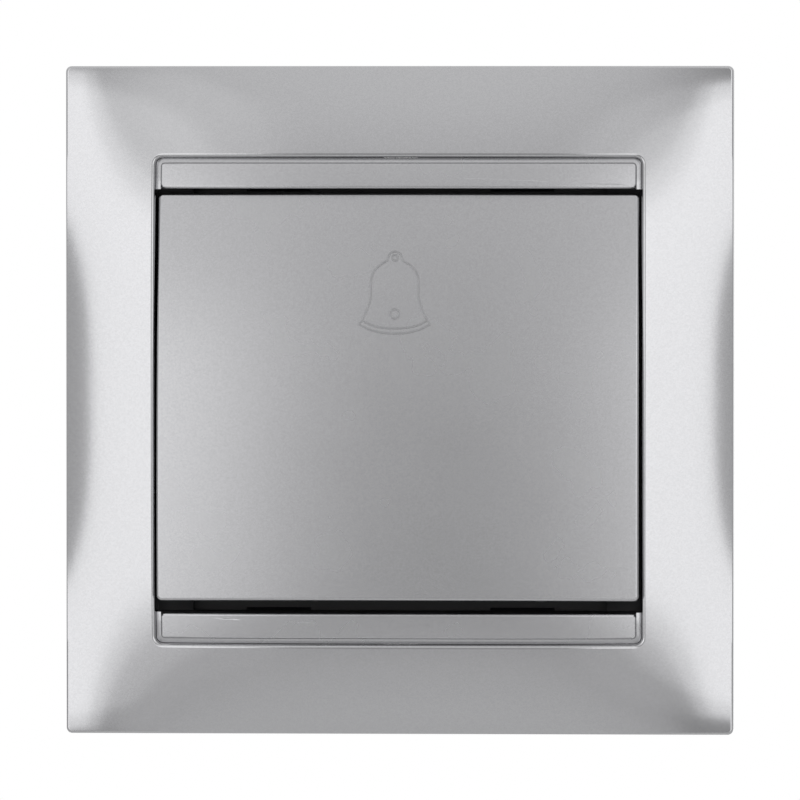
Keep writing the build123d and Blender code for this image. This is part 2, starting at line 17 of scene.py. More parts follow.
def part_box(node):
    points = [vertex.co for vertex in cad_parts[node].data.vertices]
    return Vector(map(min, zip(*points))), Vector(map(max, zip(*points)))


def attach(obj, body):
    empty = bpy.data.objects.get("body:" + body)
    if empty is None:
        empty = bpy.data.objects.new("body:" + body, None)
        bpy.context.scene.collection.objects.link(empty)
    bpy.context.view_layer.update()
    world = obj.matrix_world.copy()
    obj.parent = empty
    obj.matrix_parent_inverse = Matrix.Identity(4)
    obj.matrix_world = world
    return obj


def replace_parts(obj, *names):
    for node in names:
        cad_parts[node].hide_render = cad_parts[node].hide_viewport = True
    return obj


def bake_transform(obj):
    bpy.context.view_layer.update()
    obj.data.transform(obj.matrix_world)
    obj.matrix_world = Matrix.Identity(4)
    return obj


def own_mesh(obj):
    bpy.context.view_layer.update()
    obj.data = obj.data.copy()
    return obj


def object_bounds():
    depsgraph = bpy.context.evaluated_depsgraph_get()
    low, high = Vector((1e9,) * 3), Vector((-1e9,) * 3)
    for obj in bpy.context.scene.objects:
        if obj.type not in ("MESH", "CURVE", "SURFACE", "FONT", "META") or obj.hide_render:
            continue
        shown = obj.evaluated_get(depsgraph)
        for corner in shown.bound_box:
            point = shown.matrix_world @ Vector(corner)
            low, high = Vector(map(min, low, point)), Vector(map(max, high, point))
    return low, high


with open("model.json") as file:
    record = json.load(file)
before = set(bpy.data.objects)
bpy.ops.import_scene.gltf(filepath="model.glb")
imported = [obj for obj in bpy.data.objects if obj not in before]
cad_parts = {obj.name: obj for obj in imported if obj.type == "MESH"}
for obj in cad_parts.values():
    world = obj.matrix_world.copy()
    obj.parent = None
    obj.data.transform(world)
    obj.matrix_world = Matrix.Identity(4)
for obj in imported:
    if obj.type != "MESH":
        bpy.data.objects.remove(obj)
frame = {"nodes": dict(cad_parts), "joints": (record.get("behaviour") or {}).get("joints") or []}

cad_low, cad_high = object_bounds()
print("nodes", len(frame["nodes"]), "box mm", [round(side * 1000, 2) for side in cad_high - cad_low])

# %% [markdown]
# ## Units and the key's own frame
# Blender works in metres here, and a designer thinks of this part in millimetres, so one factor
# turns one into the other. The key leans on its pivot with its lower end proud, so its face has a
# frame of its own: the pivot comes from the joint, and the lean gives the ways up and out.

# %% Units and the key's frame
MM = 0.001
KEY_LEAN = math.radians(4.0)
JOINT = {joint["name"]: joint for joint in frame["joints"]}
key_pivot = Vector(JOINT["key_rock"]["pos_m"])
key_out = Vector((0, -math.cos(KEY_LEAN), math.sin(KEY_LEAN)))
key_up = Vector((0, math.sin(KEY_LEAN), math.cos(KEY_LEAN)))
print("key pivot mm", [round(value / MM, 3) for value in key_pivot])

# %% [markdown]
# ## Camera
# The photograph looks almost straight at the plate, a touch from the right and from above, from
# a little over a metre. Its frame is 668 of the 800 pixels wide, so the width that the picture
# takes in follows from the frame's real width, and the focal length from that and the distance.

# %% Camera
IMAGE_PX = 800
FRAME_PX = 668.3
VIEW_DISTANCE = 1.2
VIEW_TURN = math.radians(2.8)
VIEW_LIFT = math.radians(1.6)
SHIFT_X_PX = 0.7
SHIFT_Y_PX = 0.3
AIM_DEPTH = 4.5 * MM
NEAR_CLIP = 0.01


def add_object(name, data):
    """Make an object of some data and link it into the scene."""
    made = bpy.data.objects.new(name, data)
    bpy.context.scene.collection.objects.link(made)
    return made


frame_low, frame_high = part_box("cover_frame")
picture_width = (frame_high.x - frame_low.x) * IMAGE_PX / FRAME_PX
level_from = Vector((math.sin(VIEW_TURN), -math.cos(VIEW_TURN), 0))
view_from = level_from * math.cos(VIEW_LIFT) + Vector((0, 0, math.sin(VIEW_LIFT)))
camera = add_object("camera", bpy.data.cameras.new("camera"))
bpy.context.scene.camera = camera
camera.data.lens = camera.data.sensor_width * VIEW_DISTANCE / picture_width
camera.data.shift_x = SHIFT_X_PX / IMAGE_PX
camera.data.shift_y = SHIFT_Y_PX / IMAGE_PX
camera.data.clip_start = NEAR_CLIP
camera.location = Vector((0, -AIM_DEPTH, 0)) + view_from * VIEW_DISTANCE
camera.rotation_mode = "QUATERNION"
camera.rotation_quaternion = (-view_from).to_track_quat("-Z", "Y")
bpy.context.scene.view_settings.view_transform = "Standard"
print("lens", round(camera.data.lens, 1), "mm, picture", round(picture_width / MM, 2), "mm wide")

# %% [markdown]
# ## Colour and nodes
# Colours are written as sRGB hex values, as a paint chart gives them, and shaders want linear
# light, so one function turns them over. One more adds a node with its settings and inputs, which
# keeps each finish short enough to read.

# %% Colour and node helpers
def linear(colour):
    """An sRGB hex value as the linear colour that a shader wants."""
    shares = [int(colour[at:at + 2], 16) / 255 for at in (1, 3, 5)]
    return [s / 12.92 if s <= 0.04045 else ((s + 0.055) / 1.055) ** 2.4 for s in shares] + [1.0]


def feed(tree, node, inputs):
    """Give each named input of a node a value, or a link from a socket."""
    for key, value in inputs.items():
        if isinstance(value, bpy.types.NodeSocket):
            tree.links.new(value, node.inputs[key])
        else:
            node.inputs[key].default_value = value


def add_node(tree, kind, inputs=None, **settings):
    """Add a node with its settings and its inputs."""
    made = tree.nodes.new(kind)
    for name, value in settings.items():
        setattr(made, name, value)
    feed(tree, made, inputs or {})
    return made


def per(size):
    """The scale of a pattern whose features are that many millimetres wide."""
    return 1 / (size * MM)


def new_finish(name):
    """A bare node material, with its tree, its shader and the place on the object."""
    finish = bpy.data.materials.new(name)
    finish.use_nodes = True
    tree = finish.node_tree
    shader = tree.nodes["Principled BSDF"]
    place = add_node(tree, "ShaderNodeTexCoord").outputs["Object"]
    return finish, tree, shader, place


def ramp(tree, source, low, high, start=0.0, end=1.0):
    """Turn a grey pattern into a blend of two colours."""
    made = add_node(tree, "ShaderNodeValToRGB", {"Fac": source})
    made.color_ramp.elements[0].position = start
    made.color_ramp.elements[0].color = low
    made.color_ramp.elements[1].position = end
    made.color_ramp.elements[1].color = high
    return made.outputs["Color"]


def spread(tree, source, low, high, span=(0.0, 1.0), **settings):
    """A value that goes from low to high while its source crosses a span."""
    limits = {"Value": source, "From Min": span[0], "From Max": span[1], "To Min": low, "To Max": high}
    return add_node(tree, "ShaderNodeMapRange", limits, **settings).outputs["Result"]


def noise(tree, place, size, detail):
    """A cloudy pattern from 0 to 1, with features that many millimetres wide."""
    inputs = {"Vector": place, "Scale": per(size), "Detail": detail}
    return add_node(tree, "ShaderNodeTexNoise", inputs).outputs["Fac"]


def relief(tree, height, strength, depth):
    """The normals of a surface that a pattern stands out of."""
    inputs = {"Height": height, "Strength": strength, "Distance": depth}
    return add_node(tree, "ShaderNodeBump", inputs).outputs["Normal"]


print("helpers ready")

# %% [markdown]
# ## Silver lacquer
# The frame, the key and its surround are moulded ABS under a silver metallic lacquer: aluminium
# flakes in a clear binder. The eye sees a pale neutral metal, fine grains that are a shade lighter
# or darker, and a slight orange peel in the gloss. Flakes are a few hundredths of a millimetre
# wide, too fine to show, so they are drawn as grains of 0.16 mm. The frame is glossy and the key
# is satin, so one function makes both, and the roughness tells them apart.

# %% Silver lacquer
FLAKE_MM = 0.16
CLOUD_MM = 9.0
CLOUD_SHARE = 0.07
PEEL_MM = 1.4
PEEL_DEPTH = 0.004 * MM


def silver_lacquer(name, dark, light, roughness, peel):
    """A metallic lacquer of flakes from dark to light."""
    finish, tree, shader, place = new_finish(name)
    flakes = add_node(tree, "ShaderNodeTexVoronoi", {"Vector": place, "Scale": per(FLAKE_MM)})
    grain = add_node(tree, "ShaderNodeSeparateColor", {"Color": flakes.outputs["Color"]}).outputs["Red"]
    colour = ramp(tree, grain, linear(dark), linear(light))
    cloud = noise(tree, place, CLOUD_MM, detail=3)
    rough = spread(tree, cloud, roughness * (1 - CLOUD_SHARE), roughness * (1 + CLOUD_SHARE))
    skin = relief(tree, noise(tree, place, PEEL_MM, detail=2), peel, PEEL_DEPTH)
    feed(tree, shader, {"Base Color": colour, "Metallic": 1.0, "Roughness": rough, "Normal": skin})
    return finish


gloss_lacquer = silver_lacquer("silver_lacquer_gloss", "#B8B8BA", "#BEBEC0", 0.14, 0.5)
satin_lacquer = silver_lacquer("silver_lacquer_satin", "#B7B7B9", "#BDBDBF", 0.27, 0.5)
print("lacquers", gloss_lacquer.name, satin_lacquer.name)

# %% [markdown]
# ## Black nylon, and the strap drawn black as painted shade
# The insert's base and the rocker are injection moulded in black nylon. Spark-eroded moulds leave
# a fine matt grain of about a quarter of a millimetre, and glass fibre near the surface gives
# faint paler clouds. The steel strap is drawn black too, with much the same skin: painted shade,
# so that nothing shines through the gaps round the key.

# %% Black nylon, and painted shade black on the strap
NYLON_GRAIN_MM = 0.25
NYLON_GRAIN_DEPTH = 0.01 * MM
NYLON_GRAIN_STRENGTH = 0.6
NYLON_CLOUD_MM = 6.0
NYLON_ROUGHNESS = (0.42, 0.58)
NYLON_IOR = 1.53
CLOUD_EDGES = (0.3, 0.7)


def matt_black(name, dark, light):
    """A matt black surface with a fine grain and paler clouds."""
    finish, tree, shader, place = new_finish(name)
    cloud = noise(tree, place, NYLON_CLOUD_MM, detail=4)
    colour = ramp(tree, cloud, linear(dark), linear(light), *CLOUD_EDGES)
    rough = spread(tree, cloud, *NYLON_ROUGHNESS)
    grain = noise(tree, place, NYLON_GRAIN_MM, detail=2)
    skin = relief(tree, grain, NYLON_GRAIN_STRENGTH, NYLON_GRAIN_DEPTH)
    feed(tree, shader, {"Base Color": colour, "IOR": NYLON_IOR, "Roughness": rough, "Normal": skin})
    return finish


black_nylon = matt_black("black_nylon_moulded", "#19191B", "#27272A")
# Painted shade: the steel strap is drawn black so that the gaps round the key stay dark.
painted_shade_black = matt_black("painted_shade_black_on_steel", "#1D1D1F", "#29292B")
print("black finishes", black_nylon.name, painted_shade_black.name)

# %% [markdown]
# ## Metals behind the plate
# Claws and screws are zinc-plated steel: bluish grey, with rolling lines in the sheet and
# soft cloudy patches from the bath. Terminals and strips are brass and bronze, cut and drawn, so
# they carry fine lines along one way and a little tarnish. The contact tips are bare silver and
# the spring is drawn steel wire. All of them are bare metal with lines and clouds, so one function
# takes the colours, the way the lines run and how rough they are.

# %% Metals
LINE_MM = 0.12
LINE_LENGTH_MM = 6.0
LINE_DEPTH = 0.004 * MM
LINE_STRENGTH = 0.35
LINE_SHARE = 0.3
BATH_MM = 3.5


def worked_metal(name, dark, light, roughness, across=(1, 1, 0)):
    """A bare or plated metal with fine working lines and cloudy patches."""
    finish, tree, shader, place = new_finish(name)
    stretch = [1 if way else LINE_MM / LINE_LENGTH_MM for way in across]
    lines_at = add_node(tree, "ShaderNodeMapping", {"Vector": place, "Scale": stretch})
    lines = noise(tree, lines_at.outputs["Vector"], LINE_MM, detail=3)
    bath = noise(tree, place, BATH_MM, detail=5)
    colour = ramp(tree, bath, linear(dark), linear(light), *CLOUD_EDGES)
    rough = spread(tree, lines, roughness * (1 - LINE_SHARE), roughness * (1 + LINE_SHARE))
    skin = relief(tree, lines, LINE_STRENGTH, LINE_DEPTH)
    feed(tree, shader, {"Base Color": colour, "Metallic": 1.0, "Roughness": rough, "Normal": skin})
    return finish


zinc_plate = worked_metal("zinc_plated_steel", "#A9AFB6", "#CDD1D4", 0.34, across=(0, 1, 1))
brass = worked_metal("brass_cut", "#B98F45", "#DDBA6C", 0.28)
bronze = worked_metal("phosphor_bronze_rolled", "#B37A4A", "#D39C68", 0.26)
contact_silver = worked_metal("contact_silver_bare", "#CFCDC6", "#ECEAE4", 0.24)
spring_steel = worked_metal("spring_steel_drawn", "#7F8387", "#A4A8AB", 0.26)
print("metals ready")

# %% [markdown]
# ## From a bmesh to a piece
# Every new piece ends the same way: its faces are smooth, with sharp edges where the surface turns
# hard, and it gets a finish.

# %% Piece helper
WELD = 0.5e-6
HARD_ANGLE = math.radians(32)


def to_mesh(bm, name):
    """Close a bmesh into a mesh that is smooth but for its hard edges."""
    mesh = bpy.data.meshes.new(name)
    bm.to_mesh(mesh)
    bm.free()
    mesh.polygons.foreach_set("use_smooth", [True] * len(mesh.polygons))
    mesh.set_sharp_from_angle(angle=HARD_ANGLE)
    return mesh


def show(mesh, name, finish):
    """Make a mesh, or a bmesh, an object with its finish."""
    if isinstance(mesh, bmesh.types.BMesh):
        mesh = to_mesh(mesh, name)
    mesh.materials.append(finish)
    piece = add_object(name, mesh)
    return piece


def evaluated_mesh(item):
    """The mesh of a curve, or of an object with its modifiers."""
    depsgraph = bpy.context.evaluated_depsgraph_get()
    return bpy.data.meshes.new_from_object(item.evaluated_get(depsgraph))


def even_normals(piece):
    """Let large faces rule the shading, so that flats stay flat beside their soft edges."""
    weighted = piece.modifiers.new("even_normals", "WEIGHTED_NORMAL")
    weighted.keep_sharp = True


print("weld", WELD / MM, "mm")

# %% [markdown]
# ## Rings
# Gloss shows every dent, so the crowned faces have to be smoother than a CAD mesh. They are drawn
# as rings, in millimetres, on a plane of their own: x and y lie in the plane and the height stands
# on it. Each point of a ring remembers its share of the outline's straight part and which way is
# out. The same ring can then be extruded and laid on a larger or smaller outline, at a height, on
# a curved face, or on the arc that rounds an edge. A bevel along such an edge would leave nicks at
# the corners, and an arc that touches both the wall and the face doesn't.

# %% Ring helpers
SLOPE_STEP = 0.01
NEAR_CROWN = 0.008
ROUND_STEPS = 6
MIDDLE = Vector((0, 0, 0))
WALL_AXES = Matrix(((1, 0, 0), (0, 0, -1), (0, 1, 0)))
wall_place = WALL_AXES.to_4x4() @ Matrix.Scale(MM, 4)


def mix(start, end, share):
    """The value that lies at a share of the way from start to end."""
    return start + (end - start) * share


def with_memory(bm):
    """Give a bmesh room for what its ring points remember, before any of them is listed."""
    for name in ("along", "out"):
        bm.verts.layers.float_vector.new(name)
    return bm


def remember(bm, verts, half, corner, middle=MIDDLE):
    """Let each point of an outline remember its share of it and its way out."""
    along = bm.verts.layers.float_vector["along"]
    out = bm.verts.layers.float_vector["out"]
    flat = Vector((half[0] - corner, half[1] - corner, 0))
    for vert in verts:
        spot = vert.co - middle
        near = Vector((max(-flat.x, min(flat.x, spot.x)), max(-flat.y, min(flat.y, spot.y)), spot.z))
        vert[along] = (near.x / flat.x, near.y / flat.y, 0)
        vert[out] = (spot - near).normalized()


def spot_on(bm, vert, half, corner, middle=MIDDLE):
    """The place and the way out of a ring's point on an outline."""
    along = vert[bm.verts.layers.float_vector["along"]]
    out = vert[bm.verts.layers.float_vector["out"]]
    flat = Vector((along.x * (half[0] - corner), along.y * (half[1] - corner), 0))
    return middle + flat + out * corner, out


def round_over(vert, spot, out, height, radius, side, share):
    """Lay a point on the arc over a wall's spot. Side is 1 where the face runs outwards, else -1."""
    here = height(spot.x, spot.y)
    ahead = spot + out * SLOPE_STEP
    slope = (height(ahead.x, ahead.y) - here) / SLOPE_STEP
    level = here + slope * side * radius - radius * math.sqrt(1 + slope ** 2)
    turn = mix(math.pi if side > 0 else 0.0, math.atan2(1, -slope), share)
    reach = side * radius + radius * math.cos(turn)
    vert.co = spot + out * reach
    vert.co.z = level + radius * math.sin(turn)
    return reach


def next_ring(bm, ring):
    """Extrude a ring, and give back the new ring's edges and points."""
    made = bmesh.ops.extrude_edge_only(bm, edges=ring)["geom"]
    verts = [item for item in made if isinstance(item, bmesh.types.BMVert)]
    fresh = set(verts)
    new_edges = (item for item in made if isinstance(item, bmesh.types.BMEdge))
    return [edge for edge in new_edges if fresh.issuperset(edge.verts)], verts


def crown_normals(mesh, place, height):
    """Give the points on a crown the normals of its formula, so that no facet shows in the gloss."""
    back = place.inverted()
    turn = place.to_3x3().normalized()
    normals = []
    for vert in mesh.vertices:
        x, y, level = back @ vert.co
        normal = Vector((0, 0, 0))
        if abs(height(x, y) - level) < NEAR_CROWN:
            rise_x = height(x + SLOPE_STEP, y) - height(x - SLOPE_STEP, y)
            rise_y = height(x, y + SLOPE_STEP) - height(x, y - SLOPE_STEP)
            normal = (turn @ Vector((-rise_x, -rise_y, 2 * SLOPE_STEP))).normalized()
        normals.append(normal)
    mesh.normals_split_custom_set_from_vertices(normals)


def crowned(bm, name, finish, place, height):
    """Close a bmesh in millimetres into a piece at its place, with true normals on its crown."""
    bmesh.ops.recalc_face_normals(bm, faces=bm.faces[:])
    open_edges = sum(not edge.is_manifold for edge in bm.edges)
    bm.transform(place)
    piece = show(bm, name, finish)
    crown_normals(piece.data, place, height)
    print(name, len(piece.data.polygons), "faces, open edges", open_edges)
    return piece


print("arcs of", ROUND_STEPS, "steps")

# %% [markdown]
# ## Cover frame
# The frame is one moulded shell: a flat rim on the wall, a face that swells like a pillow towards
# the opening, drafted walls round the opening, a lip that holds the surround, and ribs in the
# hollow behind. A rounded square is drawn once and extruded ring by ring round the whole section,
# with each ring laid on the same formula as the solid.

# %% Cover frame sizes
RIM_HEIGHT = 4.5
CROWN = 6.5
CROWN_POWER = 3.0
FRAME_WALL = 1.8
FRAME_CORNER = 0.7
OPENING_HALF = 29.7
OPENING_CORNER = 0.8
OPENING_DRAFT = math.tan(math.radians(1.0))
LIP_WIDTH = 1.5
LIP_BACK = 1.3
LIP_FRONT = 2.3
MOUTH_ROUND = 0.45
RIM_ROUND = 0.35
HOLLOW_CORNER = 0.35
half_frame = frame_high.x / MM
lip_half = OPENING_HALF - LIP_WIDTH
skirt_half = OPENING_HALF + FRAME_WALL
inner_half = half_frame - FRAME_WALL


def swell(along):
    """How far the pillow has risen, from 0 at the frame's edge to 1 at its middle."""
    return 1 - abs(along / half_frame) ** CROWN_POWER


def face_height(x, y):
    """Height of the crowned face over the wall."""
    return RIM_HEIGHT + CROWN * swell(x) * swell(y)


def hollow_height(x, y):
    """Height of the hollow behind the face, one wall lower."""
    return face_height(x, y) - FRAME_WALL


print("crown at the opening's edge", round(face_height(0, OPENING_HALF), 2), "mm")

# %% [markdown]
# ## A square ring and two roundings
# The ring is a square whose corners are bevelled, with its sides cut often enough to follow the
# crown. The opening's walls lean outwards, so where they meet the crowned face differs from point
# to point, and a few steps of guess and check find it. From there one arc rounds the opening's
# mouth, and another rounds the frame's outer edge.

# %% Rounded square and the opening's mouth
SIDE_CUTS = 71
CORNER_CUTS = 8
DRAFT_STEPS = 4


def rounded_square(bm, half, corner):
    """A ring of edges round a square with rounded corners."""
    bmesh.ops.create_grid(bm, x_segments=1, y_segments=1, size=half)
    bmesh.ops.delete(bm, geom=bm.faces[:], context="FACES_ONLY")
    bmesh.ops.bevel(bm, geom=bm.verts[:], offset=corner, offset_type="OFFSET", affect="VERTICES",
                    segments=CORNER_CUTS, profile=0.5, material=-1)
    sides = [edge for edge in bm.edges if edge.calc_length() > half]
    bmesh.ops.subdivide_edges(bm, edges=sides, cuts=SIDE_CUTS)
    remember(bm, bm.verts[:], (half, half), corner)
    return bm.edges[:]


def lay_ring(bm, verts, half, corner, height):
    """Lay a ring on a square outline, at a level or on a surface."""
    for vert in verts:
        vert.co = spot_on(bm, vert, (half, half), corner)[0]
        vert.co.z = height(vert.co.x, vert.co.y) if callable(height) else height


def mouth_of(bm, vert):
    """Half width and corner of the opening where its drafted wall meets the face, found by steps."""
    grown = 0.0
    for _ in range(DRAFT_STEPS):
        spot = spot_on(bm, vert, (OPENING_HALF + grown, OPENING_HALF + grown), OPENING_CORNER + grown)[0]
        grown = (face_height(spot.x, spot.y) - LIP_FRONT) * OPENING_DRAFT
    return OPENING_HALF + grown, OPENING_CORNER + grown


def round_mouth(bm, vert, share):
    """Lay a point on the rounding of the opening, and give back its half width and corner."""
    half, corner = mouth_of(bm, vert)
    spot, out = spot_on(bm, vert, (half, half), corner)
    reach = round_over(vert, spot, out, face_height, MOUTH_ROUND, 1, share)
    return half + reach, corner + reach


def round_rim(bm, vert, share):
    """Lay a point on the rounding of the outer edge, and give back its half width and corner."""
    spot, out = spot_on(bm, vert, (half_frame, half_frame), FRAME_CORNER)
    reach = round_over(vert, spot, out, face_height, RIM_ROUND, -1, share)
    return half_frame + reach, FRAME_CORNER + reach


print("rings of", 4 * (SIDE_CUTS + 1 + CORNER_CUTS), "points")

# %% [markdown]
# ## Round the section
# Now the ring goes all the way round the section: over the lip, up the opening's wall and round its
# mouth, across the face, round the rim, back to the wall, and through the hollow to where it began.
# The last ring is bridged to the first, which closes the shell.

# %% Frame section
FACE_RINGS = 18
HOLLOW_RINGS = 8


def frame_front(bm, ring):
    """Extrude the opening's rounding, the crowned face and the outer rounding."""
    for step in range(ROUND_STEPS + 1):
        ring, verts = next_ring(bm, ring)
        for vert in verts:
            round_mouth(bm, vert, step / ROUND_STEPS)
    for step in range(1, FACE_RINGS):
        ring, verts = next_ring(bm, ring)
        for vert in verts:
            near = round_mouth(bm, vert, 1.0)
            far = round_rim(bm, vert, 1.0)
            half, corner = (mix(a, b, step / FACE_RINGS) for a, b in zip(near, far))
            lay_ring(bm, [vert], half, corner, face_height)
    for step in range(ROUND_STEPS, -1, -1):
        ring, verts = next_ring(bm, ring)
        for vert in verts:
            round_rim(bm, vert, step / ROUND_STEPS)
    return ring


def frame_section(bm):
    """Extrude the frame's rings all the way round its section."""
    first = rounded_square(bm, lip_half, OPENING_CORNER)
    lay_ring(bm, bm.verts[:], lip_half, OPENING_CORNER, LIP_FRONT)
    ring, verts = next_ring(bm, first)
    lay_ring(bm, verts, OPENING_HALF, OPENING_CORNER, LIP_FRONT)
    ring = frame_front(bm, ring)
    back = [(half_frame, FRAME_CORNER, 0.0), (inner_half, HOLLOW_CORNER, 0.0)]
    for step in range(HOLLOW_RINGS + 1):
        back.append((mix(inner_half, skirt_half, step / HOLLOW_RINGS), HOLLOW_CORNER, hollow_height))
    back.append((skirt_half, HOLLOW_CORNER, LIP_BACK))
    back.append((lip_half, OPENING_CORNER, LIP_BACK))
    for half, corner, height in back:
        ring, verts = next_ring(bm, ring)
        lay_ring(bm, verts, half, corner, height)
    bmesh.ops.bridge_loops(bm, edges=first + ring)
    bmesh.ops.recalc_face_normals(bm, faces=bm.faces[:])


bm = with_memory(bmesh.new())
frame_section(bm)
section_mesh = to_mesh(bm, "frame_section")
print("section faces", len(section_mesh.polygons))

# %% [markdown]
# ## Notches and ribs
# The heads of the box screws need room under the lip, so four round notches are cut through it.
# A boolean takes them out of the closed section. The ribs are added after that: each starts as a
# strip whose upper edge follows the hollow's ceiling and gets its thickness from solidify.

# %% Notches and ribs
SCREW_AT = 30.0
HEAD_ROOM_RADIUS = 3.8
HEAD_ROOM_HEIGHT = 3.8
RIB_AT = 20.0
RIB_THICKNESS = 1.0
RIB_SINK = 0.4
RIB_CUTS = 8
CYLINDER_SIDES = 48


def carved(mesh, cutter_mesh):
    """A mesh with the shape of another taken out of it."""
    blank = add_object("blank", mesh)
    cutter = add_object("cutter", cutter_mesh)
    cut = blank.modifiers.new("cut", "BOOLEAN")
    cut.object = cutter
    cut.operation = "DIFFERENCE"
    result = evaluated_mesh(blank)
    for item in (blank, cutter):
        bpy.data.objects.remove(item)
    return result


def head_rooms():
    """Four cylinders where the heads of the box screws sit."""
    bm = bmesh.new()
    for quarter in range(4):
        turn = Matrix.Rotation(math.pi / 2 * quarter, 4, "Z")
        stand = turn @ Matrix.Translation((SCREW_AT, 0, 0))
        bmesh.ops.create_cone(bm, cap_ends=True, segments=CYLINDER_SIDES, radius1=HEAD_ROOM_RADIUS,
                              radius2=HEAD_ROOM_RADIUS, depth=2 * HEAD_ROOM_HEIGHT, matrix=stand)
    return to_mesh(bm, "head_rooms")


def frame_ribs(bm):
    """Eight ribs across the hollow, sunk a little into the walls that they join."""
    for quarter in range(4):
        turn = Matrix.Rotation(math.pi / 2 * quarter, 4, "Z")
        for x in (-RIB_AT, RIB_AT):
            strip = bmesh.ops.create_grid(bm, x_segments=RIB_CUTS, y_segments=1, size=0.5)["verts"]
            for vert in strip:
                y = mix(skirt_half - RIB_SINK, inner_half + RIB_SINK, vert.co.x + 0.5)
                top = hollow_height(x, y) + RIB_SINK
                vert.co = turn @ Vector((x, y, LIP_BACK if vert.co.y < 0 else top))
            faces = list({face for vert in strip for face in vert.link_faces})
            bmesh.ops.solidify(bm, geom=faces, thickness=RIB_THICKNESS)


bm = bmesh.new()
bm.from_mesh(carved(section_mesh, head_rooms()))
frame_ribs(bm)
cover = crowned(bm, "frame_shell", gloss_lacquer, wall_place, face_height)
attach(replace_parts(cover, "cover_frame"), "insert")

# %% [markdown]
# ## Soft edges on the rigid pieces
# A moulded or stamped piece has no knife edges: even a sharp tool leaves a tenth of a millimetre
# of rounding, and that thin line of light is what makes a solid look real. A CAD mesh is loose
# triangles, so a copy of it is merged, its flats are joined into single faces, and the hard edges
# that are left are bevelled.

# %% Softened copies
FLAT_ANGLE = math.radians(1.0)
EDGE_ANGLE = math.radians(38)


def merged(node, flat_angle=FLAT_ANGLE):
    """A copy of a CAD node's mesh, welded and with its flats joined."""
    bm = bmesh.new()
    bm.from_mesh(frame["nodes"][node].data)
    bmesh.ops.remove_doubles(bm, verts=bm.verts[:], dist=WELD)
    bmesh.ops.dissolve_limit(bm, angle_limit=flat_angle, verts=bm.verts[:], edges=bm.edges[:])
    return bm


def soften(bm, width, segments=2):
    """Round the hard edges by that much, in the bmesh's own units."""
    hard = [edge for edge in bm.edges if edge.is_manifold and edge.calc_face_angle() > EDGE_ANGLE]
    bmesh.ops.bevel(bm, geom=hard, offset=width, offset_type="OFFSET", affect="EDGES",
                    segments=segments, profile=0.5, material=-1)
    return bm


SOFT_PIECES = [
    ("rocker", 0.12, black_nylon, "black_plastic", "key"),
    ("insert_base", 0.12, black_nylon, "black_plastic", "insert"),
    # The strap's black finish is painted shade for the gaps round the key.
    ("mounting_strap", 0.10, painted_shade_black, "black_steel", "insert"),
    ("fixed_contact", 0.05, brass, "brass", "insert"),
    ("terminal_left", 0.10, brass, "brass", "insert"),
    ("terminal_right", 0.10, brass, "brass", "insert"),
    ("strip_rivet_left", 0.20, brass, "brass", "insert"),
    ("strip_rivet_right", 0.20, brass, "brass", "insert"),
    ("fixed_tip", 0.20, contact_silver, "silver_contact", "insert"),
    ("claw_left", 0.10, zinc_plate, "zinc_steel", "left_claw"),
    ("claw_right", 0.10, zinc_plate, "zinc_steel", "right_claw"),
]
for node, width, finish, slot, body in SOFT_PIECES:
    piece = show(soften(merged(node), width * MM), node + "_soft", finish)
    even_normals(piece)
    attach(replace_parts(piece, node), body)
    print(node, len(piece.data.polygons), "faces")

# %% [markdown]
# ## Crowned bars and key
# The key's face is convex, and the two bars of its surround follow the frame's pillow. Everything
# behind them can come from the CAD mesh, but their faces can't: its triangles would glitter. So the
# crowned faces are taken off a merged copy, and the open outline that is left is rounded over and
# filled with rings that shrink towards the middle, each point laid on the crown's own formula.

# %% Crown helpers
FINE_FLAT_ANGLE = math.radians(0.05)
FACING = 0.3
CROWN_DEPTH = 0.34
CROWN_STEP = 0.8
CROWN_RINGS = 14
CROWN_SHARE = 0.93


def strip_crown(bm, height):
    """Take off the faces that lie on a crown or on its broken edge."""
    bm.normal_update()
    old = []
    for face in bm.faces:
        at = face.calc_center_median()
        if face.normal.z > FACING and abs(height(at.x, at.y) - at.z) < CROWN_DEPTH:
            old.append(face)
    bmesh.ops.delete(bm, geom=old, context="FACES")


def open_ring(bm, half, middle):
    """The open edges round one outline."""
    reach = half[1] + CROWN_DEPTH
    return [edge for edge in bm.edges if edge.is_boundary and abs(edge.verts[0].co.y - middle.y) < reach]


def lay_crown(bm, half, corner, middle, height, radius):
    """Round an open outline over and fill it with rings on the crown."""
    for edge in open_ring(bm, half, middle):
        cuts = int(edge.calc_length() / CROWN_STEP)
        if cuts:
            bmesh.ops.subdivide_edges(bm, edges=[edge], cuts=cuts)
    ring = open_ring(bm, half, middle)
    verts = {vert for edge in ring for vert in edge.verts}
    remember(bm, verts, half, corner, middle)
    for step in range(ROUND_STEPS + 1):
        if step:
            ring, verts = next_ring(bm, ring)
        for vert in verts:
            spot, out = spot_on(bm, vert, half, corner, middle)
            round_over(vert, spot, out, height, radius, -1, step / ROUND_STEPS)
    left = 1.0
    for step in range(1, CROWN_RINGS + 1):
        ring, verts = next_ring(bm, ring)
        shrink = (1 - CROWN_SHARE * step / CROWN_RINGS) / left
        left = left * shrink
        for vert in verts:
            vert.co = middle + (vert.co - middle) * shrink
            vert.co.z = height(vert.co.x, vert.co.y)
    bmesh.ops.edgeloop_fill(bm, edges=ring)


print("crowns of", CROWN_RINGS, "rings")

# %% [markdown]
# ## Caps and collars
# The surround's rails are open over the heads of the box screws, and its snap hooks have play in
# the strap. Light would come through there, so the surround gets two hollow caps over the screw
# heads and a thin collar round each hook, as such mouldings have them.

# %% Caps and collars
CAP_RADIUS = 4.5
CAP_FOOT = 2.6
CAP_TOP = 4.4
CAP_ROOF = 1.0
TONGUE_RADIUS = 3.5
TONGUE_TOP = 3.7
CAP_REACH = 29.55
SNAP_AT = (15.0, 26.7)
COLLAR_SIZE = (7.9, 2.2, 0.22)
COLLAR_LEVEL = 1.14


